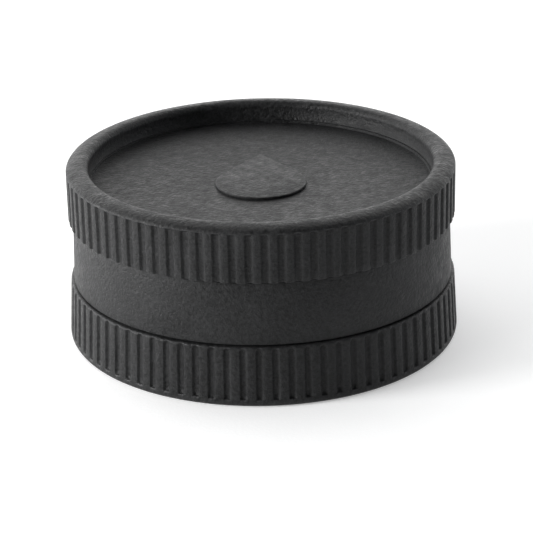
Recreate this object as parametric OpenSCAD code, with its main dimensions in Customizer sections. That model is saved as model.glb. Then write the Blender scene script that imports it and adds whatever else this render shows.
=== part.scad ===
// Film developing tank for one 35 mm reel: a ribbed cup, a smooth light-trap lid that screws on
// it, and a ribbed watertight cap that screws on the lid. Millimetres, +Z up. The origin is the
// middle of the foot, on the surface that the tank stands on.

/* [Outside] */
// Radius over the ribbed band of the cap
cap_r = 60; // [59.8:0.1:61]
// Height of the crest of the cap's rim
crest_z = 55.85; // [55.5:0.05:58]
// Height of the cap's lower edge
cap_z = 38.8; // [38.6:0.05:39.3]
// Height of the recessed panel of the cap
panel_z = 48.8; // [48.4:0.1:49.5]
// Radius of the recess in the top of the cap
recess_r = 53.1; // [52.8:0.1:53.3]
// Height of the shoulder of the base, where the seam is
seam_z = 18.75; // [18:0.05:20]
// Radius at the foot of the base
foot_r = 61.2; // [61:0.1:62]
// Radius at the top of the base's ribbed band
base_top_r = 60.2; // [60:0.1:60.6]
// Radius of the smooth band at its lower edge
lid_bottom_r = 59.2; // [59:0.1:59.4]
// Radius of the smooth band at its upper edge
lid_top_r = 58.5; // [58.3:0.1:58.8]

/* [Grip ribs] */
// Number of grooves round each ribbed band
groove_count = 80; // [60:1:90]
// Width of the cap's grooves at the surface
cap_groove_w = 2.8; // [1.6:0.1:3]
// Width of the base's grooves at the surface
base_groove_w = 2.3; // [1.6:0.1:2.6]
// Depth of a groove
groove_depth = 0.65; // [0.5:0.05:1.1]
// Turn of the cap's grooves, in degrees
cap_groove_turn = 0.7; // [-2:0.1:2]
// Turn of the base's grooves, in degrees
base_groove_turn = -1.5; // [-2:0.1:2]

/* [Screw threads] */
// Rise of the lid in one turn
lid_lead = 24; // [20:1:26]
// Rise of the cap in one turn
cap_lead = 16; // [14:1:17]

/* [Reel] */
// Width of the film that the reel holds, between its two groove floors
film_gap = 35.2; // [35.1:0.1:35.3]
// Number of turns of film track
track_turns = 8; // [6:1:8]
// Distance from one turn of track to the next
track_pitch = 3.2; // [2.8:0.1:3.2]
// Diameter of the steel balls in the film feed
ball_d = 3; // [2.8:0.1:3]

/* [Mark] */
// Height that the drop mark stands above the panel
mark_h = 0.9; // [0.4:0.1:1.2]
// Radius of the round end of the drop mark
mark_r = 14; // [8:1:16]

/* [Hidden] */

$fn = 96;
gap = 0.1;                         // air between pieces that nearly touch
sink = 0.4;                        // how far a joined shape reaches into the one that carries it
wall = 2.4;                        // usual wall of the moulded shells

// Base: an inner cup with a neck, and an outer ribbed skirt that hangs from its shoulder
cup_r = 52.8;                      // inside of the cup
neck_r = cup_r + wall;             // outside of the neck
neck_z = 35.2;                     // top of the neck
floor_z = 2.6;                     // top of the cup's floor
floor_lift = 0.4;                  // underside of the cup's floor, above the foot
skirt_in_top = base_top_r - wall;  // inside of the outer skirt at its top and at its foot
skirt_in_foot = foot_r - 3.3;
foot_fillet = 1.8;
shoulder_round = 0.8;
web_count = 8;                     // ribs between cup and skirt
web_t = 1.6;
base_groove_z = 2.3;               // lower end of the base's grooves
base_groove_top = seam_z - 0.2;    // upper end, at the crown of its arch
base_lean = atan((foot_r - base_top_r) / (seam_z - shoulder_round - foot_fillet));

// Lid: outer skirt over the neck, shoulder, its own neck for the cap, and a deck
seam_gap = 0.45;
lid_z = seam_z + seam_gap;         // lower edge of the smooth band
lid_in_r = 56.6;                   // inside of the skirt
lid_ledge_z = cap_z - 0.25;        // top of the lid's shoulder, under the cap's edge
lid_roof_z = neck_z + 1.7;         // underside of the shoulder, over the base's neck
lid_neck_r = 54.9;
lid_neck_in = 52.4;
lid_neck_z = 45;
deck_z = 41.4;                     // underside of the deck
deck_top_out = 43.9;               // the deck's top falls a little towards the funnel
deck_top_in = 43.5;
funnel_hole_r = 24;
funnel_seat_r = 26.2;
funnel_seat_z = 42.6;

// Rubber rings
lid_seal_in = 53.3;
lid_seal_out = 55.1;
lid_seal_slot = 0.8;               // depth of the slot that holds it
cap_seal_in = 50.75;
cap_seal_out = 54.8;
cap_seal_h = 1.6;

// Cap
cap_in_r = 57;                     // inside of the skirt
panel_t = 2;
ledge_rise = 0.8;                  // narrow ledge round the panel
ledge_w = 0.65;
rim_r = 55.3;                      // radius of the crest
rim_round_z = 53.8;                // height where the rim starts to round over
cap_groove_top = rim_round_z - 0.2;
rim_pocket_in = 55.5;              // hollow under the rim
rim_pocket_z = 53;
seal_lip_in = 50;
seal_lip_out = 50.6;
seal_lip_h = 1.1;

// Column and reel
column_r = 10.5;
column_bore = 8;
column_z = floor_z + gap;          // foot of the column
column_top = 39.9;
foot_flange_r = 17.5;
foot_flange_t = 1.6;
flow_slots = 6;
flow_slot_w = 6;
flow_slot_h = 1.1;
spigot_r = column_bore - 0.07;
spigot_h = 3.4;
key_w = 1.4;                       // drive key between column and reel
key_h = 0.8;
stem_r = 7.5;                      // funnel stem, inside the column
stem_bore = 6.2;
stem_z = 32;
flange_t = 1.4;
rail_h = 1.2;
rail_w = 1;
reel_z = 3;                        // underside of the reel
track_lo = reel_z + flange_t;      // lower and upper groove floors
track_hi = track_lo + film_gap;
reel_top = track_hi + flange_t;
reel_r = 50.5;
rim_in = 47.5;
core_r = 19.6;                     // ring that the film starts from
core_in = 18.2;
hub_r = 13;                        // hub tube of the lower half
hub_in = column_r + gap;
hub_top = 38.2;
sleeve_in = hub_r + 0.06;          // sleeve of the upper half, turning on the hub tube
sleeve_r = 15.2;
sleeve_z = 12;
sleeve_top = hub_top + 0.1;
plate_t = 1.4;
spokes = 8;
spoke_w = 2.4;
track_r0 = 21;
feed_swing = 25;                   // how far the halves turn, each way
stop_arc = 14;                     // width of the stop in the sleeve's window, in degrees
stop_z = 20;
stop_h = 6;
feed_turn = 45;                    // where the film enters the reel
guide_in = 46;                     // feed guide with its ball pocket
guide_out = 50.4;
guide_w = 12;
guide_h = 5.6;
pocket_r = ball_d / 2 + gap;
pocket_depth = 1.3;                // from the mouth to the middle of the pocket
pocket_run = 2.2;                  // how far the ball's centre can roll, plus the gaps
pocket_lift = 2.9;                 // from the outer face of a flange to the ball
clip_z = 38.55;
clip_t = 0.9;
clip_r = 14;
clip_slot_r = 9.9;
clip_open = 100;

plastic = "#2b2c2d";
rubber = "#16171a";
nylon = "#dcdad2";
steel = "#b9bcc0";

// Points on a circle or ellipse about c, with radii r, from angle a to angle b
function arc(c, r, a, b, n = 8) =
    [for (i = [0:n]) let (t = a + (b - a) * i / n) c + [r[0] * cos(t), r[1] * sin(t)]];

// Faces of a ridge with four points in each of n + 1 sections, turned round when flip is true
function ridge_faces(n, flip) = let (
    sides = [for (i = [0:n - 1], k = [0:3]) let (a = 4 * i + k, b = 4 * i + (k + 1) % 4)
        each [[a, a + 4, b], [b, a + 4, b + 4]]],
    ends = [[0, 1, 2], [0, 2, 3], [4 * n + 2, 4 * n + 1, 4 * n], [4 * n + 3, 4 * n + 2, 4 * n]],
    all = concat(sides, ends)
) flip ? [for (f = all) [f[2], f[1], f[0]]] : all;

// Four equal helical ridges: root and crest radii, height of the middle at the start, rise in a
// full turn, arc of each, and their thickness at root and crest
module thread(root, crest, z, lead, ridge_arc, thick, tip) {
    starts = 4;
    n = ceil(ridge_arc / 5);
    section = [[root, -thick / 2], [crest, -tip / 2], [crest, tip / 2], [root, thick / 2]];
    points = [for (i = [0:n], q = section) let (a = ridge_arc * i / n)
        [q[0] * cos(a), q[0] * sin(a), z + lead * a / 360 + q[1]]];
    for (s = [0:starts - 1])
        rotate([0, 0, 360 * s / starts])
            polyhedron(points, ridge_faces(n, crest > root), convexity = 4);
}

// Cutter for one groove: a V with a narrow flat floor, along +Z from the origin, its surface at
// x = 0. An arched one has a round upper end
module groove_cutter(width, length, arched) {
    out = 0.8;
    floor_w = 0.5;
    half = width / 2;
    mouth = half + (half - floor_w / 2) * out / groove_depth;
    linear_extrude(height = length)
        polygon([[-groove_depth, floor_w / 2], [-groove_depth, -floor_w / 2], [out, -mouth], [out, mouth]]);
    if (arched)
        translate([-groove_depth, 0, length])
            rotate([90, 0, 90])
                rotate_extrude(angle = 180)
                    polygon([[0, 0], [floor_w / 2, 0], [mouth, groove_depth + out], [0, groove_depth + out]]);
}

// Copies of the children round the axis
module ring(count, turn = 0) {
    for (i = [0:count - 1]) rotate([0, 0, turn + 360 * i / count]) children();
}

// A hollow cylinder between two heights
module tube(r_out, r_in, z0, z1) {
    translate([0, 0, z0])
        rotate_extrude()
            translate([r_in, 0]) square([r_out - r_in, z1 - z0]);
}

// A piece of a ring between two radii, two heights and two angles
module sector(r_in, r_out, z0, z1, a, b) {
    rotate([0, 0, a])
        translate([0, 0, z0])
            rotate_extrude(angle = b - a)
                translate([r_in, 0]) square([r_out - r_in, z1 - z0]);
}

// A straight bar along +X, centred on the X axis
module bar(x0, x1, width, z0, z1) {
    translate([x0, -width / 2, z0]) cube([x1 - x0, width, z1 - z0]);
}

module base_section() {
    polygon(concat(
        [[0, floor_lift], [neck_r, floor_lift], [neck_r, seam_z - wall],
         [skirt_in_top, seam_z - wall], [skirt_in_foot, 0]],
        arc([foot_r - foot_fillet, foot_fillet], foot_fillet * [1, 1], -90, 0, 4),
        arc([base_top_r - shoulder_round, seam_z - shoulder_round], shoulder_round * [1, 1], 0, 90, 6),
        [[neck_r, seam_z], [neck_r, neck_z], [cup_r, neck_z], [cup_r, floor_z], [0, floor_z]]
    ));
}

module tank_base() {
    arch = base_groove_w / 2;
    run = (base_groove_top - arch - base_groove_z) / cos(base_lean);
    lean_r = foot_r - (base_groove_z - foot_fillet) * tan(base_lean);
    color(plastic) {
        difference() {
            rotate_extrude() base_section();
            ring(groove_count, base_groove_turn)
                translate([lean_r, 0, base_groove_z])
                    rotate([0, -base_lean, 0]) groove_cutter(base_groove_w, run, true);
        }
        ring(web_count) bar(neck_r - sink, skirt_in_foot + sink, web_t, 1, seam_z - wall + sink);
        // The column turns on this cross, and liquid passes between its arms
        intersection() {
            translate([0, 0, floor_z - sink]) cylinder(h = spigot_h + sink, r = spigot_r);
            union() {
                bar(-spigot_r - 1, spigot_r + 1, 3, 0, floor_z + spigot_h + 1);
                rotate([0, 0, 90]) bar(-spigot_r - 1, spigot_r + 1, 3, 0, floor_z + spigot_h + 1);
            }
        }
        thread(neck_r - sink, neck_r + 1.1, 28, lid_lead, 60, 2, 1.2);
    }
}

module lid_seal() {
    color(rubber)
        tube(lid_seal_out, lid_seal_in, neck_z + gap, lid_roof_z + lid_seal_slot - gap);
}

module lid_section() {
    edge = 0.25;
    slot_in = lid_seal_in - gap;
    slot_out = lid_seal_out + gap;
    polygon([
        [lid_in_r, lid_z], [lid_bottom_r - edge, lid_z], [lid_bottom_r, lid_z + edge],
        [lid_top_r, lid_ledge_z], [lid_neck_r, lid_ledge_z], [lid_neck_r, lid_neck_z],
        [lid_neck_in, lid_neck_z], [lid_neck_in, deck_top_out], [funnel_seat_r, deck_top_in],
        [funnel_seat_r, funnel_seat_z], [funnel_hole_r, funnel_seat_z], [funnel_hole_r, deck_z],
        [lid_neck_in, deck_z], [lid_neck_in, lid_roof_z], [slot_in, lid_roof_z],
        [slot_in, lid_roof_z + lid_seal_slot], [slot_out, lid_roof_z + lid_seal_slot],
        [slot_out, lid_roof_z], [lid_in_r, lid_roof_z]
    ]);
}

module light_trap_lid() {
    color(plastic) {
        rotate_extrude() lid_section();
        thread(lid_in_r + sink, lid_in_r - 1.1, 25.8, lid_lead, 60, 2, 1.2);
        thread(lid_neck_r - sink, lid_neck_r + 1.7, 41.8, cap_lead, 50, 1.4, 0.8);
    }
}

module pour_funnel() {
    flange_r = funnel_seat_r - gap;
    plug_r = funnel_hole_r - gap;
    color(plastic)
        rotate_extrude()
            polygon([
                [stem_bore, stem_z], [stem_r, stem_z], [stem_r, 40.35], [9, 40.5], [plug_r, 42],
                [plug_r, funnel_seat_z + 0.05], [flange_r, funnel_seat_z + 0.05],
                [flange_r, deck_top_in - 0.05], [25, deck_top_in - 0.05], [8.4, 41.6],
                [stem_bore + 0.6, 41.1], [stem_bore, 40.2]
            ]);
}

module cap_seal() {
    color(rubber) tube(cap_seal_out, cap_seal_in, lid_neck_z + gap, lid_neck_z + gap + cap_seal_h);
}

module cap_section() {
    edge = 0.3;
    under = panel_z - panel_t;
    crest = [rim_r, rim_round_z];
    rise = crest_z - rim_round_z;
    polygon(concat(
        [[cap_in_r, cap_z], [cap_r - edge, cap_z], [cap_r, cap_z + edge]],
        arc(crest, [cap_r - rim_r, rise], 0, 90, 12),
        arc(crest, [rim_r - recess_r, rise], 100, 180, 8),
        [[recess_r, panel_z + ledge_rise], [recess_r - ledge_w, panel_z + ledge_rise],
         [recess_r - ledge_w, panel_z], [0, panel_z], [0, under], [seal_lip_in, under],
         [seal_lip_in, under - seal_lip_h], [seal_lip_out, under - seal_lip_h],
         [seal_lip_out, under], [rim_pocket_in, under], [rim_pocket_in, rim_pocket_z],
         [cap_in_r, rim_pocket_z]]
    ));
}

// A drop of liquid, point towards +Y
module drop_outline() {
    tip = 1.8 * mark_r;
    a = asin(mark_r / tip);
    translate([0, mark_r - (mark_r + tip) / 2])
        polygon(concat([[0, tip]], arc([0, 0], mark_r * [1, 1], 180 - a, 360 + a, 32)));
}

module cap() {
    color(plastic) {
        difference() {
            rotate_extrude() cap_section();
            ring(groove_count, cap_groove_turn)
                translate([cap_r, 0, cap_z - 1])
                    groove_cutter(cap_groove_w, cap_groove_top - cap_z + 1, false);
        }
        translate([0, 0, panel_z - sink]) linear_extrude(height = mark_h + sink) drop_outline();
        thread(cap_in_r + sink, cap_in_r - 1.7, 40.25, cap_lead, 50, 1.4, 0.8);
    }
}

module centre_column() {
    color(plastic)
        difference() {
            union() {
                tube(column_r, column_bore, column_z, column_top);
                tube(foot_flange_r, column_bore, column_z, column_z + foot_flange_t);
                bar(column_r - sink, column_r + key_h, key_w, column_z + foot_flange_t - sink, 34);
            }
            // Liquid leaves the column under its foot
            ring(flow_slots, 30)
                bar(column_bore - 1, foot_flange_r + 1, flow_slot_w, column_z - 1, column_z + flow_slot_h);
            tube(column_r + 1, clip_slot_r, clip_z - gap, clip_z + clip_t + gap);
            // Two notches for the stirring key
            ring(2, 90) bar(column_bore - 1, column_r + 1, 3, column_top - 1.2, column_top + 1);
        }
}

// Film track of one flange: half circles about two centres, which make one even spiral
module film_track(z0, z1) {
    for (k = [0:2 * track_turns - 1]) {
        side = k % 2 == 0 ? -1 : 1;
        r = track_r0 + k * track_pitch / 2;
        translate([side * track_pitch / 4, 0, 0])
            sector(r, r + rail_w, z0, z1, 180 * (k % 2), 180 * (k % 2) + 180);
    }
}

// Rim, spokes and core ring of a flange, whose plain face is at z0 and whose web ends at z1
module flange_web(z0, z1) {
    tube(reel_r, rim_in, z0, z1);
    ring(spokes, 22.5) bar(core_in + sink, rim_in + sink, spoke_w, z0, z1);
}

// The hollow that a ball rolls in, at height z, open towards the reel's axis
module ball_pocket(z) {
    rotate([0, 0, feed_turn])
        translate([guide_in + pocket_depth, -pocket_run / 2, z]) {
            rotate([-90, 0, 0]) cylinder(h = pocket_run, r = pocket_r);
            sphere(r = pocket_r);
            translate([0, pocket_run, 0]) sphere(r = pocket_r);
        }
}

module feed_guide(z0, z1, ball_z) {
    difference() {
        rotate([0, 0, feed_turn]) bar(guide_in, guide_out, guide_w, z0, z1);
        ball_pocket(ball_z);
    }
}

module reel_lower_flange() {
    color(nylon) {
        difference() {
            union() {
                tube(hub_r, hub_in, track_lo, hub_top);
                tube(core_r, hub_in, track_lo, track_lo + plate_t);
            }
            bar(hub_in - 1, hub_in + key_h + gap, key_w + 2 * gap, 0, 35);
        }
        tube(core_r, core_in, reel_z, track_lo + plate_t);
        sector(hub_r - sink, sleeve_r - 0.4, stop_z, stop_z + stop_h, 90 - stop_arc / 2, 90 + stop_arc / 2);
        flange_web(reel_z, track_lo);
        film_track(reel_z, track_lo + rail_h);
        feed_guide(reel_z, reel_z + guide_h, reel_z + pocket_lift);
    }
}

module reel_upper_flange() {
    window = stop_arc / 2 + feed_swing + 1;
    color(nylon) {
        difference() {
            union() {
                tube(sleeve_r, sleeve_in, sleeve_z, sleeve_top);
                tube(core_r, sleeve_in, sleeve_top - plate_t, sleeve_top);
            }
            // Window that the stop of the lower half turns in
            sector(sleeve_in - 1, sleeve_r + 1, stop_z - gap, stop_z + stop_h + gap, 90 - window, 90 + window);
        }
        tube(core_r, core_in, sleeve_top - plate_t, reel_top);
        flange_web(track_hi, reel_top);
        film_track(track_hi - rail_h, reel_top);
        feed_guide(reel_top - guide_h, reel_top, reel_top - pocket_lift);
    }
}

module reel_clip() {
    color(rubber)
        sector(clip_slot_r + 0.05, clip_r, clip_z, clip_z + clip_t, clip_open / 2, 360 - clip_open / 2);
}

// A steel ball at the start of its run
module feed_ball(z) {
    color(steel)
        rotate([0, 0, feed_turn])
            translate([guide_in + pocket_depth, -pocket_run / 2 + gap, z]) sphere(d = ball_d);
}

module feed_ball_lower() { feed_ball(reel_z + pocket_lift); }

module feed_ball_upper() { feed_ball(reel_top - pocket_lift); }

tank_base();
lid_seal();
light_trap_lid();
pour_funnel();
cap_seal();
cap();
centre_column();
reel_lower_flange();
reel_upper_flange();
reel_clip();
feed_ball_lower();
feed_ball_upper();
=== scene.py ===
import math

import bpy
import numpy as np
from mathutils import Matrix, Vector


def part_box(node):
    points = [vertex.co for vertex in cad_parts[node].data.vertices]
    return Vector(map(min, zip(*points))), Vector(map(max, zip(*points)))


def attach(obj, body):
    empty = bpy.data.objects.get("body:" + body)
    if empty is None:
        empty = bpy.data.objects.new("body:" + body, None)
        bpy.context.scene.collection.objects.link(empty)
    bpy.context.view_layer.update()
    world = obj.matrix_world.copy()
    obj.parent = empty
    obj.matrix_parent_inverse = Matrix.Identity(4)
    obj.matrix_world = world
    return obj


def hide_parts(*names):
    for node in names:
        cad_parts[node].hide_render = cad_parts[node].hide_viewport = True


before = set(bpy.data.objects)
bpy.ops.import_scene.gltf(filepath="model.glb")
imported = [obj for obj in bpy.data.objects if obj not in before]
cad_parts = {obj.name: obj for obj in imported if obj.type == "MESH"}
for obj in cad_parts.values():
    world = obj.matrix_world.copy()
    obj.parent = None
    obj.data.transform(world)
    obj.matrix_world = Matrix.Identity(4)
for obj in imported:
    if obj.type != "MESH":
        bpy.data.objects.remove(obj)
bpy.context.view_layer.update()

MM = 0.001

# ---------------------------------------------------------------- sizes, in millimetres
cap_low, cap_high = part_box("cap")
base_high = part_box("tank_base")[1]
cap_r = cap_high.x / MM
crest_z = cap_high.z / MM
cap_z = cap_low.z / MM
foot_r = base_high.x / MM

# the cap: its top panel, the recess round the panel and the inner wall of its skirt
panel_z = 48.8
recess_r = 53.1
cap_inner_r = 57

# the lid: the foot of its skirt, its ledge under the cap, the top of its neck, the underside of its
# deck and the face that comes down on the base's neck
lid_low_z = 19.2
lid_ledge_z = 38.55
lid_neck_z = 45
lid_deck_z = 41.4
lid_seat_z = 36.9

# the base: the seam under the lid, its neck, the inside of its cup and the cup's underside
seam_z = 18.75
neck_z = 35.2
neck_r = 55.2
cup_r = 52.8
cup_floor_z = 2.6
floor_under_z = 0.4

# the grooves
groove_count = 80
pitch_deg = 360 / groove_count
outer_wall_r = 57          # the mesh has extra rows only outside this radius
square_end = 0.3           # height over which a square-ended groove runs out
closed_end = 0.35          # height over which a groove runs out at its lower end

# How deep a groove is at a distance from its middle: a flat floor, sloping sides and a crisp lip
BASE_GROOVE_AT = [0, 0.4, 0.54, 0.65, 1.05, 1.14, 1.24]
CAP_GROOVE_AT = [0, 0.5, 0.66, 0.78, 1.2, 1.3, 1.4]
GROOVE_DEEP = [0.65, 0.65, 0.61, 0.52, 0.1, 0.03, 0]

# Four-start threads: radii of root and crest, height, rise in a turn, arc in degrees, and the
# ridge's thickness at its root and at its tip
BASE_THREAD = (54.8, 56.3, 28, 24, 60, 2, 1.2)
LID_INNER_THREAD = (57.0, 55.5, 25.8, 24, 60, 2, 1.2)
LID_NECK_THREAD = (54.5, 56.6, 41.8, 16, 50, 1.4, 0.8)
CAP_THREAD = (57.4, 55.3, 40.25, 16, 50, 1.4, 0.8)


# ---------------------------------------------------------------- mesh helpers
def rounded(points, steps=4):
    """A closed outline from corners (r, z, radius), each corner turned into an arc."""
    out = []
    count = len(points)
    for i, (r, z, radius) in enumerate(points):
        here = np.array([r, z], float)
        before = np.array(points[i - 1][:2], float) - here
        after = np.array(points[(i + 1) % count][:2], float) - here
        if radius <= 0:
            out.append(here)
            continue
        before_len, after_len = np.linalg.norm(before), np.linalg.norm(after)
        before, after = before / before_len, after / after_len
        half = math.acos(float(np.clip(before @ after, -1, 1))) / 2
        reach = min(radius / math.tan(half), 0.48 * before_len, 0.48 * after_len)
        centre = here + (before + after) / np.linalg.norm(before + after) * reach / math.cos(half)
        start, end = here + before * reach - centre, here + after * reach - centre
        lengths = np.linalg.norm(start) * np.linalg.norm(end)
        turn = math.acos(float(np.clip(start @ end / lengths, -1, 1)))
        for k in range(steps + 1):
            a, b = math.sin((1 - k / steps) * turn), math.sin(k / steps * turn)
            out.append(centre + (start * a + end * b) / math.sin(turn))
    return out


def add_rows(outline, heights, reach=0.6):
    """More points on the outer wall of an outline, at the heights given."""
    out = []
    count = len(outline)
    for i, p in enumerate(outline):
        q = outline[(i + 1) % count]
        out.append(p)
        outer = min(p[0], q[0]) > outer_wall_r and abs(p[1] - q[1]) > reach
        if not outer:
            continue
        low, high = min(p[1], q[1]), max(p[1], q[1])
        between = sorted(h for h in heights if low + 0.02 < h < high - 0.02)
        if p[1] > q[1]:
            between.reverse()
        out += [p + (q - p) * (h - p[1]) / (q[1] - p[1]) for h in between]
    return out


def even_columns(count):
    return [math.radians(360 * i / count) for i in range(count)]


def groove_columns(turn, across):
    """Angles of the mesh columns: one at each distance in across, both sides of each groove."""
    half_pitch = math.radians(pitch_deg) / 2
    per_side = [d / cap_r for d in across]
    offsets = [-a for a in per_side[:0:-1]] + per_side
    offsets = [a for a in offsets if abs(a) < half_pitch] + [half_pitch]
    return [
        math.radians(turn + pitch_deg * g) + a
        for g in range(groove_count) for a in offsets
    ]


def groove_depth_at(theta, z, turn, low, high, profile, arched):
    """Depth of the nearest groove at a point of the outer wall."""
    pitch = math.radians(pitch_deg)
    offset = (theta - math.radians(turn) + pitch / 2) % pitch - pitch / 2
    across = abs(offset) * cap_r
    arch_r = profile[-1]
    top = high - arch_r if arched else high
    past = max(0.0, z - top)
    if arched:
        deep = np.interp(math.hypot(across, past), profile, GROOVE_DEEP)
    else:
        deep = np.interp(across, profile, GROOVE_DEEP) * (1 - min(1.0, past / square_end))
    return deep * min(1.0, max(0.0, (z - low) / closed_end))


def mark_edges(mesh):
    """A value at each vertex, more where the surface is convex, which the material paints lighter:
    partly rubbed wear, partly a painted highlight in place of glints on the edges.
    """
    places = np.array([v.co for v in mesh.vertices])
    normals = np.array([v.vector for v in mesh.vertex_normals])
    ends = np.array([e.vertices for e in mesh.edges])
    total, count = np.zeros(len(places)), np.zeros(len(places))
    for here, there in ((ends[:, 0], ends[:, 1]), (ends[:, 1], ends[:, 0])):
        along = places[there] - places[here]
        along /= np.linalg.norm(along, axis=1)[:, None]
        np.add.at(total, here, -(normals[here] * along).sum(1))
        np.add.at(count, here, 1)
    edge_wear_and_glint = mesh.attributes.new("edge_wear_and_glint", "FLOAT", "POINT")
    edge_wear_and_glint.data.foreach_set("value", np.maximum(total / np.maximum(count, 1), 0).astype(np.float32))


def add_mesh(name, verts, faces):
    mesh = bpy.data.meshes.new(name)
    mesh.from_pydata([tuple(v) for v in verts], [], faces)
    mesh.validate()
    mesh.update()
    mesh.polygons.foreach_set("use_smooth", [True] * len(mesh.polygons))
    mark_edges(mesh)
    piece = bpy.data.objects.new(name, mesh)
    bpy.context.scene.collection.objects.link(piece)
    return piece


class Solid:
    """Vertices and faces of one piece, in millimetres, gathered from several closed shapes."""

    def __init__(self):
        self.verts = []
        self.faces = []

    def add(self, verts, faces):
        first = len(self.verts)
        self.verts += [tuple(float(c) for c in v) for v in verts]
        self.faces += [tuple(first + i for i in f) for f in faces]

    def revolve(self, outline, columns, groove=None):
        """An outline in (r, z), anticlockwise, turned about Z. Its ends may lie on the axis."""
        verts, rows, faces = [], [], []
        for r, z in outline:
            if r < 1e-6:
                rows.append([len(verts)] * len(columns))
                verts.append((0, 0, z))
                continue
            rows.append(range(len(verts), len(verts) + len(columns)))
            for theta in columns:
                cut = groove(theta, r, z) if groove else 0
                verts.append(((r - cut) * math.cos(theta), (r - cut) * math.sin(theta), z))
        on_axis = outline[0][0] < 1e-6 and outline[-1][0] < 1e-6
        count = len(columns)
        for i in range(len(rows) - (1 if on_axis else 0)):
            a, b = rows[i], rows[(i + 1) % len(rows)]
            for k in range(count):
                n = (k + 1) % count
                corners = [a[k], a[n], b[n], b[k]]
                face = [c for j, c in enumerate(corners) if c != corners[j - 1]]
                if len(face) > 2:
                    faces.append(tuple(face))
        self.add(verts, faces)

    def sweep(self, section, frames, closed=False):
        """A convex section carried through frames: functions that place a point (a, b)."""
        count = len(section)
        verts = [place(p) for place in frames for p in section]
        faces = []
        last = len(frames) if closed else len(frames) - 1
        for i in range(last):
            j = (i + 1) % len(frames)
            for k in range(count):
                n = (k + 1) % count
                faces.append((i * count + k, i * count + n, j * count + n, j * count + k))
        if not closed:
            faces.append(tuple(range(count - 1, -1, -1)))
            faces.append(tuple(last * count + k for k in range(count)))
        self.add(verts, faces)

    def thread(self, root, crest, z, lead, arc, thick, tip, soft=0.15):
        """Four equal helical ridges with softened crests."""
        steps = 24
        side = 1 if crest > root else -1
        section = [
            (root, -thick / 2), (crest - side * soft, -tip / 2 - soft / 2),
            (crest, -tip / 2 + soft), (crest, tip / 2 - soft),
            (crest - side * soft, tip / 2 + soft / 2), (root, thick / 2),
        ]
        if side < 0:
            section.reverse()
        for start in range(4):
            frames = []
            for i in range(steps + 1):
                a = math.radians(90 * start + arc * i / steps)
                rise = z + lead * arc * i / steps / 360
                frames.append(lambda p, a=a, rise=rise: (
                    p[0] * math.cos(a), p[0] * math.sin(a), rise + p[1]))
            self.sweep(section, frames)

    def box(self, x0, x1, width, z0, z1, turn=0, soft=0.2):
        """A bar along a radius with softened upright edges."""
        c, s = math.cos(math.radians(turn)), math.sin(math.radians(turn))
        w = width / 2
        section = [
            (x0, -w + soft), (x0 + soft, -w), (x1 - soft, -w), (x1, -w + soft),
            (x1, w - soft), (x1 - soft, w), (x0 + soft, w), (x0, w - soft),
        ]
        frames = [
            lambda p, z=z: (p[0] * c - p[1] * s, p[0] * s + p[1] * c, z) for z in (z0, z1)
        ]
        self.sweep(section, frames)

    def plateau(self, outline, z0, z1, soft):
        """A low raised shape with a rounded upper edge, from an anticlockwise outline in (x, y)."""
        points = np.array(outline, float)
        ahead, behind = np.roll(points, -1, 0) - points, points - np.roll(points, 1, 0)
        normal = np.stack([ahead[:, 1] + behind[:, 1], -ahead[:, 0] - behind[:, 0]], 1)
        normal /= np.linalg.norm(normal, axis=1)[:, None]
        levels = [(0, z0), (0, z1 - soft)]
        levels += [
            (soft * (1 - math.cos(t)), z1 - soft + soft * math.sin(t))
            for t in [math.radians(a) for a in (22, 45, 68, 90)]
        ]
        verts = []
        for inset, z in levels:
            verts += [(x, y, z) for x, y in points - normal * inset]
        count = len(points)
        faces = []
        for i in range(len(levels) - 1):
            here, above = i * count, (i + 1) * count
            for k in range(count):
                n = (k + 1) % count
                faces.append((here + k, here + n, above + n, above + k))
        faces.append(tuple(range(count - 1, -1, -1)))
        faces.append(tuple((len(levels) - 1) * count + k for k in range(count)))
        self.add(verts, faces)

    def make(self, name, body, node, material):
        piece = add_mesh(name, [[c * MM for c in v] for v in self.verts], self.faces)
        piece.data.materials.append(material)
        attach(piece, body)
        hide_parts(node)
        return piece


# ---------------------------------------------------------------- materials
# noise scales, in turns per metre: the grain's two sizes, patches of a few mm and broad clouds
GRIT, PEBBLE, PATCH, CLOUD = 2400, 900, 330, 70
GRIT_HEIGHT, PEBBLE_HEIGHT = 0.00011, 0.00033      # metres, for a grain of 1
NOISE_LOW, NOISE_HIGH = 0.3, 0.7                   # the span that noise mostly covers
# convex edges: the span of the edge value that is used, how much lighter the colour goes and how
# much glossier; the lighter colour is partly rubbed wear, partly a painted highlight for glints
WEAR_AND_GLINT_LOW, WEAR_AND_GLINT_HIGH, WEAR_AND_GLINT_TINT, WEAR_GLOSS = 0.03, 0.2, 0.6, -0.15


def node(tree, kind, **inputs):
    made = tree.nodes.new(kind)
    for key, value in inputs.items():
        made.inputs[key.replace("_", " ")].default_value = value
    return made


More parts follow.
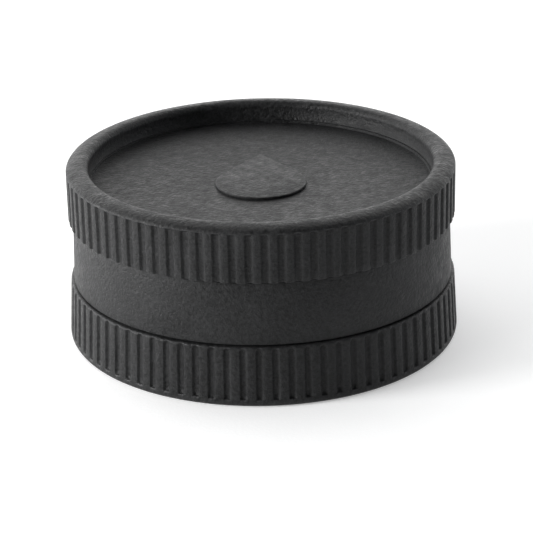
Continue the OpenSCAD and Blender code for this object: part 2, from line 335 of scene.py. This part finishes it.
def moulded(name, dark, light, rough, grain=1.0, specular=0.5):
    """Moulded plastic or rubber: eroded grain, mottled colour, uneven gloss and convex edges
    painted lighter, partly as rubbed wear and partly as a painted highlight for glints.
    """
    material = bpy.data.materials.new(name)
    material.use_nodes = True
    tree = material.node_tree
    tree.nodes.clear()
    link = tree.links.new
    place = tree.nodes.new("ShaderNodeTexCoord").outputs["Object"]
    out = tree.nodes.new("ShaderNodeOutputMaterial")
    shader = node(tree, "ShaderNodeBsdfPrincipled", Specular_IOR_Level=specular)
    link(shader.outputs[0], out.inputs[0])

    def noise(scale, detail, roughness=0.5):
        made = node(tree, "ShaderNodeTexNoise", Scale=scale, Detail=detail, Roughness=roughness)
        link(place, made.inputs["Vector"])
        return made.outputs["Fac"]

    def blend(value, low, high, a, b):
        made = tree.nodes.new("ShaderNodeMapRange")
        for key, number in zip(("From Min", "From Max", "To Min", "To Max"), (low, high, a, b)):
            made.inputs[key].default_value = number
        link(value, made.inputs["Value"])
        return made.outputs[0]

    def add(first, second, share=1.0):
        made = tree.nodes.new("ShaderNodeMath")
        made.operation = "MULTIPLY_ADD"
        made.inputs[1].default_value = share
        link(second, made.inputs[0])
        link(first, made.inputs[2])
        return made.outputs[0]

    def vary(value, a, b):
        return blend(value, NOISE_LOW, NOISE_HIGH, a, b)

    grit = noise(GRIT, 2, 0.6)
    pebble = noise(PEBBLE, 3, 0.55)
    patch = noise(PATCH, 3, 0.6)
    cloud = noise(CLOUD, 4, 0.6)
    edges = tree.nodes.new("ShaderNodeAttribute")
    edges.attribute_name = "edge_wear_and_glint"
    # convex edges painted lighter: partly rubbed wear, partly a painted highlight standing in for
    # glints
    worn_and_glinting = blend(edges.outputs["Fac"], WEAR_AND_GLINT_LOW, WEAR_AND_GLINT_HIGH, 0, WEAR_AND_GLINT_TINT)

    tint = add(vary(pebble, -0.2, 0.5), vary(grit, -0.2, 0.4))
    tint = add(add(tint, vary(patch, -0.1, 0.12)), vary(cloud, -0.1, 0.35))
    # the painted edge highlight, together with the wear, lightens the colour here
    tint = add(tint, worn_and_glinting)
    mix = tree.nodes.new("ShaderNodeMix")
    mix.data_type = "RGBA"
    mix.inputs["A"].default_value = (*dark, 1)
    mix.inputs["B"].default_value = (*light, 1)
    link(tint, mix.inputs["Factor"])
    link(mix.outputs["Result"], shader.inputs["Base Color"])

    gloss = add(vary(cloud, rough - 0.05, rough + 0.05), vary(pebble, -0.1, 0.1))
    gloss = add(gloss, vary(patch, -0.11, 0.11))
    link(add(gloss, worn_and_glinting, WEAR_GLOSS), shader.inputs["Roughness"])
    fine = node(tree, "ShaderNodeBump", Strength=0.6, Distance=GRIT_HEIGHT * grain)
    link(grit, fine.inputs["Height"])
    coarse = node(tree, "ShaderNodeBump", Strength=0.6, Distance=PEBBLE_HEIGHT * grain)
    link(pebble, coarse.inputs["Height"])
    link(fine.outputs[0], coarse.inputs["Normal"])
    link(coarse.outputs[0], shader.inputs["Normal"])
    return material


def shader_of(material):
    return next(n for n in material.node_tree.nodes if n.type == "BSDF_PRINCIPLED")


shell_plastic = moulded(
    "shell_plastic", dark=(0.0065, 0.0066, 0.0068), light=(0.026, 0.0264, 0.0272),
    rough=0.52, grain=1.6, specular=0.19)
column_plastic = moulded(
    "column_plastic", dark=(0.008, 0.008, 0.0085), light=(0.014, 0.014, 0.015),
    rough=0.42, grain=0.6)
seal_rubber = moulded(
    "seal_rubber", dark=(0.012, 0.012, 0.013), light=(0.022, 0.022, 0.024), rough=0.75, grain=1.2)
reel_nylon = moulded(
    "reel_nylon", dark=(0.66, 0.64, 0.58), light=(0.78, 0.76, 0.70), rough=0.38, grain=0.5)
ball_steel = moulded(
    "ball_steel", dark=(0.5, 0.5, 0.52), light=(0.62, 0.62, 0.64), rough=0.18, grain=0.15)
shader_of(ball_steel).inputs["Metallic"].default_value = 1


# ---------------------------------------------------------------- pieces
def make_base():
    """A cup with a neck, inside a grooved skirt that stands on its lower rim."""
    groove_turn = -1.5                         # degrees
    groove_low, groove_high = 2.3, seam_z - 0.1
    groove_floor_r = 59                        # no groove reaches further in
    under_shoulder_z = seam_z - 2.4
    shoulder_r = 60.15
    foot_corner_r = foot_r + 0.03              # its rounding brings it back inside foot_r
    corners = [
        (0, floor_under_z, 0), (neck_r, floor_under_z, 0.3), (neck_r, under_shoulder_z, 0.5),
        (57.8, under_shoulder_z, 0.5), (57.9, 0, 0.3), (foot_corner_r, 0, 1.85),
        (shoulder_r, seam_z, 0.8), (neck_r, seam_z, 0.2), (neck_r, neck_z, 0.3),
        (cup_r, neck_z, 0.3), (cup_r, cup_floor_z, 1.0), (0, cup_floor_z, 0),
    ]
    arch = groove_high - BASE_GROOVE_AT[-1]
    heights = [groove_low + d for d in (0, 0.1, 0.25, 0.38)] + [4, 7, 10, 13]
    heights += [arch + d for d in (-0.4, 0, 0.2, 0.4, 0.6, 0.8)]
    outline = add_rows(rounded(corners, 5), heights)

    def groove(theta, r, z):
        if r < groove_floor_r or z > groove_high:
            return 0
        return groove_depth_at(
            theta, z, groove_turn, groove_low, groove_high, BASE_GROOVE_AT, arched=True)

    base = Solid()
    base.revolve(outline, groove_columns(groove_turn, BASE_GROOVE_AT), groove)
    web_count = 8                              # between the cup and the skirt
    for i in range(web_count):
        base.box(54.9, 58.2, width=1.6, z0=1, z1=seam_z - 2, turn=360 / web_count * i)
    base.thread(*BASE_THREAD)
    spigot_r = 7.93                            # fits the column's 8 mm bore
    for turned in (0, 90):
        base.box(-spigot_r, spigot_r, width=3, z0=2.2, z1=6, turn=turned, soft=0.4)
    return base.make("base_shell", "base", "tank_base", shell_plastic)


def make_lid():
    """A smooth skirt and a neck, with a deck that falls towards the funnel's seat."""
    skirt_in_r, skirt_low_r, skirt_top_r = 56.6, 59.2, 58.5
    neck_out_r, neck_in_r = 54.9, 52.4
    seat_out_r, seat_in_r, seat_z = 26.2, 24, 42.6
    seal_in_r, seal_out_r, seal_top_z = 53.2, 55.2, 37.7
    corners = [
        (skirt_in_r, lid_low_z, 0.25), (skirt_low_r, lid_low_z, 0.15),
        (skirt_top_r, lid_ledge_z, 0.3), (neck_out_r, lid_ledge_z, 0.3),
        (neck_out_r, lid_neck_z, 0.4), (neck_in_r, lid_neck_z, 0.4),
        (neck_in_r, 43.9, 0.4), (seat_out_r, 43.5, 0.2), (seat_out_r, seat_z, 0),
        (seat_in_r, seat_z, 0), (seat_in_r, lid_deck_z, 0.3), (neck_in_r, lid_deck_z, 0.5),
        (neck_in_r, lid_seat_z, 0.2), (seal_in_r, lid_seat_z, 0.1), (seal_in_r, seal_top_z, 0),
        (seal_out_r, seal_top_z, 0), (seal_out_r, lid_seat_z, 0.1), (skirt_in_r, lid_seat_z, 0.5),
    ]
    lid = Solid()
    lid.revolve(rounded(corners), even_columns(288))
    lid.thread(*LID_INNER_THREAD)
    lid.thread(*LID_NECK_THREAD)
    return lid.make("lid_shell", "lid", "light_trap_lid", shell_plastic)


def drop_outline(r, tip):
    """A drop of liquid: a circle of radius r that runs out to a point at the distance tip."""
    lean = math.degrees(math.asin(r / tip))
    steps = 64
    arc = [math.radians(180 - lean + (180 + 2 * lean) * i / steps) for i in range(steps + 1)]
    drop = [(0, tip)] + [(r * math.cos(a), r * math.sin(a)) for a in arc]
    return [(x, y - (tip - r) / 2) for x, y in drop]


def make_cap():
    """A grooved skirt, a rim that is a quarter ellipse each side, and a recessed panel."""
    groove_turn, groove_high = 0.7, 53.6
    rim_r, round_z = 55.3, 53.8                # middle of the rim, and where it starts to round
    rise = crest_z - round_z
    under_z, lip_z = 46.8, 45.7                # the panel's underside and its sealing lip
    ledge_z, ledge_r = panel_z + 0.8, recess_r - 0.65
    above = 60                                 # any height over the wall, dropped again

    def quarter(reach, degrees):
        return [
            np.array([rim_r + reach * math.cos(a), round_z + rise * math.sin(a)])
            for a in [math.radians(d) for d in degrees]
        ]

    edge = rounded([(cap_inner_r, cap_z, 0.2), (cap_r, cap_z, 0.35), (cap_r, above, 0)], 4)[:-1]
    outer = quarter(cap_r - rim_r, range(0, 91, 6))
    inner = quarter(rim_r - recess_r, range(100, 181, 10))
    rings = [(r, panel_z, 0) for r in (46, 34, 22, 10, 2, 0)]
    rest = rounded([
        (recess_r, ledge_z, 0.12), (ledge_r, ledge_z, 0.1), (ledge_r, panel_z, 0.1), *rings,
        (0, under_z, 0), (50, under_z, 0.3), (50, lip_z, 0.15), (50.6, lip_z, 0.15),
        (50.6, under_z, 0.1), (55.5, under_z, 0.3), (55.5, 53, 0.6), (cap_inner_r, 53, 0.6),
    ])
    heights = [41, 44, 47, 50, 52] + [groove_high + d for d in (-0.3, 0, 0.12)]
    outline = add_rows(edge + outer + inner + rest, heights)

    def groove(theta, r, z):
        if z > groove_high + square_end or r < cap_inner_r + 0.05:
            return 0
        on_wall = z > cap_z + 0.1
        share = 1 if on_wall else (r - cap_inner_r) / (cap_r - cap_inner_r)
        return share * groove_depth_at(
            theta, z, groove_turn, cap_z - 1, groove_high, CAP_GROOVE_AT, arched=False)

    # the closed outline starts on the underside of the skirt; turn it to start on the axis
    start = next(i for i, p in enumerate(outline) if p[0] < 1e-6 and p[1] <= under_z)
    outline = outline[start:] + outline[:start]
    cap = Solid()
    cap.revolve(outline, groove_columns(groove_turn, CAP_GROOVE_AT), groove)
    cap.thread(*CAP_THREAD)
    cap.plateau(drop_outline(r=14, tip=25.2), panel_z - 0.3, panel_z + 0.9, soft=0.35)
    return cap.make("cap_shell", "screw_cap", "cap", shell_plastic)


make_base()
make_lid()
make_cap()
finishes = {
    "lid_seal": seal_rubber, "cap_seal": seal_rubber,
    "pour_funnel": column_plastic, "centre_column": column_plastic, "reel_clip": column_plastic,
    "reel_lower_flange": reel_nylon, "reel_upper_flange": reel_nylon,
    "feed_ball_lower": ball_steel, "feed_ball_upper": ball_steel,
}
for name, finish in finishes.items():
    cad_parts[name].data.materials.clear()
    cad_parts[name].data.materials.append(finish)


# ---------------------------------------------------------------- floor, light and camera
def make_floor():
    """A pale floor with a little light of its own, as on a light table."""
    size = 4
    bpy.ops.mesh.primitive_plane_add(size=size, location=(0, 0, 0))
    floor = bpy.context.object
    floor.name = "floor"
    material = moulded(
        "pale_floor", dark=(0.78, 0.78, 0.78), light=(0.82, 0.82, 0.82),
        rough=0.9, grain=0.2, specular=0.1)
    shader = shader_of(material)
    shader.inputs["Emission Color"].default_value = (1, 1, 1, 1)
    shader.inputs["Emission Strength"].default_value = 0.33
    floor.data.materials.append(material)


def softbox(name, place, aim, width, height, watts, colour):
    light = bpy.data.lights.new(name, "AREA")
    light.shape = "RECTANGLE"
    light.size, light.size_y = width, height
    light.energy = watts
    light.color = colour
    lamp = bpy.data.objects.new(name, light)
    bpy.context.scene.collection.objects.link(lamp)
    lamp.location = place
    lamp.rotation_euler = (Vector(aim) - Vector(place)).to_track_quat("-Z", "Y").to_euler()


def make_lights():
    """Softboxes, most of their light from the left, and a world that is bright behind the tank."""
    aim = (0, 0, 0.03)
    white, bluish = (1, 1, 1), (0.92, 0.95, 1)
    # name, place, width, height, watts, colour
    for name, place, width, height, watts, colour in (
        ("left_light", (-0.86, -0.25, 0.35), 0.3, 0.45, 9, white),
        ("front_left_light", (-0.75, -0.55, 0.35), 0.35, 0.5, 3.2, white),
        ("left_low_light", (-0.9, 0.25, 0.12), 0.7, 0.25, 5, white),
        ("back_left_light", (-0.6, 0.8, 0.5), 0.7, 0.7, 1.4, white),
        ("right_light", (0.9, 0.05, 0.35), 0.7, 0.7, 2.3, bluish),
        ("top_light", (0, 0.1, 1), 0.8, 0.8, 0.6, white),
    ):
        softbox(name, place, aim, width, height, watts, colour)
    world = bpy.data.worlds.new("studio")
    world.use_nodes = True
    tree = world.node_tree
    backdrop = tree.nodes["Background"]
    backdrop.inputs["Strength"].default_value = 2.55
    towards_back = tree.nodes.new("ShaderNodeVectorMath")
    towards_back.operation = "DOT_PRODUCT"
    towards_back.inputs[1].default_value = (0, 1, 0)
    direction = tree.nodes.new("ShaderNodeTexCoord").outputs["Generated"]
    tree.links.new(direction, towards_back.inputs[0])
    lit = tree.nodes.new("ShaderNodeMath")
    lit.operation = "MAXIMUM"
    lit.inputs[1].default_value = 0
    tree.links.new(towards_back.outputs["Value"], lit.inputs[0])
    tree.links.new(lit.outputs[0], backdrop.inputs["Color"])
    bpy.context.scene.world = world


def make_camera():
    """The view from the front, 23 degrees above the level, with a long lens."""
    place = Vector((0, -607.3, 275.2)) * MM
    down, pan, roll = 0.39932, 0.00193, -0.02121       # radians
    level = math.cos(down)
    forward = Vector((math.sin(pan) * level, math.cos(pan) * level, -math.sin(down)))
    right = Vector((math.cos(pan), -math.sin(pan), 0))
    up = right.cross(forward)
    tilted_right = math.cos(roll) * right + math.sin(roll) * up
    tilted_up = math.cos(roll) * up - math.sin(roll) * right
    camera = bpy.data.cameras.new("camera")
    camera.sensor_width = 36
    camera.lens = 141.28
    camera.clip_start = 0.01
    seen = bpy.data.objects.new("camera", camera)
    seen.matrix_world = Matrix((
        (tilted_right.x, tilted_up.x, -forward.x, place.x),
        (tilted_right.y, tilted_up.y, -forward.y, place.y),
        (tilted_right.z, tilted_up.z, -forward.z, place.z),
        (0, 0, 0, 1),
    ))
    bpy.context.scene.collection.objects.link(seen)
    bpy.context.scene.camera = seen


make_floor()
make_lights()
make_camera()
bpy.context.scene.view_settings.view_transform = "Standard"
